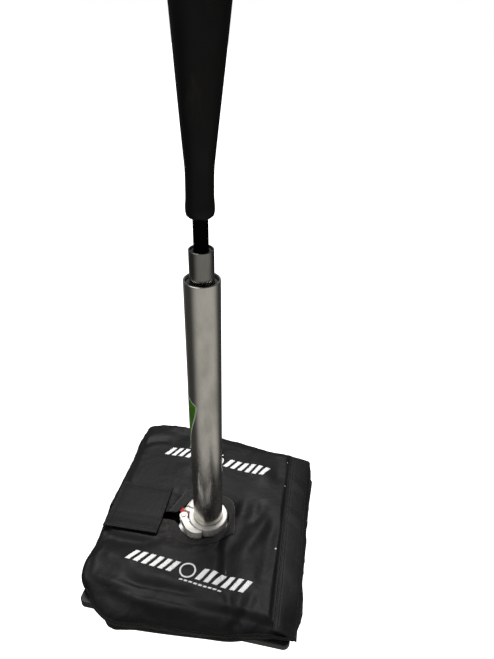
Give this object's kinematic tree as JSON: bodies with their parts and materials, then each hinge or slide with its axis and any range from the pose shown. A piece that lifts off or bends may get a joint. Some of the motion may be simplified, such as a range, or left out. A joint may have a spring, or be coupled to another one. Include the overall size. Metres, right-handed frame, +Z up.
{
  "type": "batting tee",
  "caption": "Weighted batting tee: steel ground plate, quick-release socket, telescoping aluminium column, flared rubber ball rest and a wrap-round weight bag.",
  "frame": {"origin": "on the ground under the column's axis, at the centre of the rubber mat's underside", "axes": "+Z up along the column; the plate's sides lie along X and Y; the release lever and the bag's slit face -X, the print reads from -Y"},
  "size_m": [0.2838, 0.3092, 0.702],
  "materials": {
    "painted_steel": "satin grey paint on steel plate",
    "mat_rubber": "matte black sheet rubber",
    "socket_steel": "zinc plated, satin",
    "screw_steel": "blackened then worn",
    "clamp_aluminium": "bright polished",
    "saddle_plastic": "moulded red",
    "tube_aluminium": "drawn, satin polished",
    "bush_plastic": "moulded black",
    "ring_rubber": "smooth nitrile",
    "rod_black": "black powder coat",
    "rest_rubber": "matte moulded rubber, scuffed",
    "bag_vinyl": "vinyl coated polyester, black",
    "pack_cloth": "coarse woven liner filled with sand",
    "binding_tape": "folded binding tape, dusty",
    "hook_tape": "hook and loop tape"
  },
  "bodies": {
    "base": {"base_plate": "painted_steel", "rubber_mat": "mat_rubber", "socket_flange": "socket_steel", "flange_screws": "screw_steel", "socket_tube": "socket_steel", "clamp_collar": "clamp_aluminium", "draw_bolt": "socket_steel", "barrel_nut": "clamp_aluminium", "cam_saddle": "saddle_plastic"},
    "lever": {"cam_lever": "clamp_aluminium", "pivot_pin": "socket_steel"},
    "column": {"outer_tube": "tube_aluminium", "outer_guide_bush": "bush_plastic"},
    "mid": {"mid_tube": "tube_aluminium", "mid_guide_bush": "bush_plastic", "mid_foot_plug": "bush_plastic", "mid_o_rings": "ring_rubber"},
    "rod": {"inner_rod": "rod_black", "rod_foot_plug": "bush_plastic", "rod_o_rings": "ring_rubber", "rod_top_plug": "bush_plastic"},
    "rest": {"ball_rest": "rest_rubber"},
    "bag": {"bag_top": "bag_vinyl", "bag_bottom": "bag_vinyl", "sand_pack_front": "pack_cloth", "sand_pack_back": "pack_cloth", "hole_binding": "binding_tape", "closure_loop_tape": "hook_tape", "side_loop_tape": "hook_tape"},
    "closure": {"closure_flap": "bag_vinyl", "closure_hook_tape": "hook_tape"},
    "strip": {"side_flap": "bag_vinyl", "side_hook_tape": "hook_tape"}
  },
  "joints": [
    {"name": "lever_hinge", "type": "hinge", "parent": "base", "child": "lever", "pos_m": [-0.03165, -0.00705, 0.043], "axis": [0, 0, -1], "range_deg": [0, 120]},
    {"name": "column_lift", "type": "slide", "parent": "base", "child": "column", "axis": [0, 0, 1], "range_m": [0, 0.05]},
    {"name": "mid_slide", "type": "slide", "parent": "column", "child": "mid", "axis": [0, 0, 1], "range_m": [-0.025, 0.22]},
    {"name": "rod_slide", "type": "slide", "parent": "mid", "child": "rod", "axis": [0, 0, 1], "range_m": [-0.025, 0.22]},
    {"name": "ball_rest_pull", "type": "slide", "parent": "rod", "child": "rest", "axis": [0, 0, 1], "range_m": [0, 0.06]},
    {"name": "bag_lift", "type": "slide", "parent": "base", "child": "bag", "axis": [0, 0, 1], "range_m": [0, 0.15]},
    {"name": "closure_hinge", "type": "hinge", "parent": "bag", "child": "closure", "pos_m": [-0.10056, 0.04397, 0.0354], "axis": [-0.9993, -0.0384, 0], "range_deg": [0, 150]},
    {"name": "strip_hinge", "type": "hinge", "parent": "bag", "child": "strip", "pos_m": [0.13031, 0.01102, 0.02536], "axis": [-0.0576, 0.9983, 0], "range_deg": [0, 150]}
  ]
}
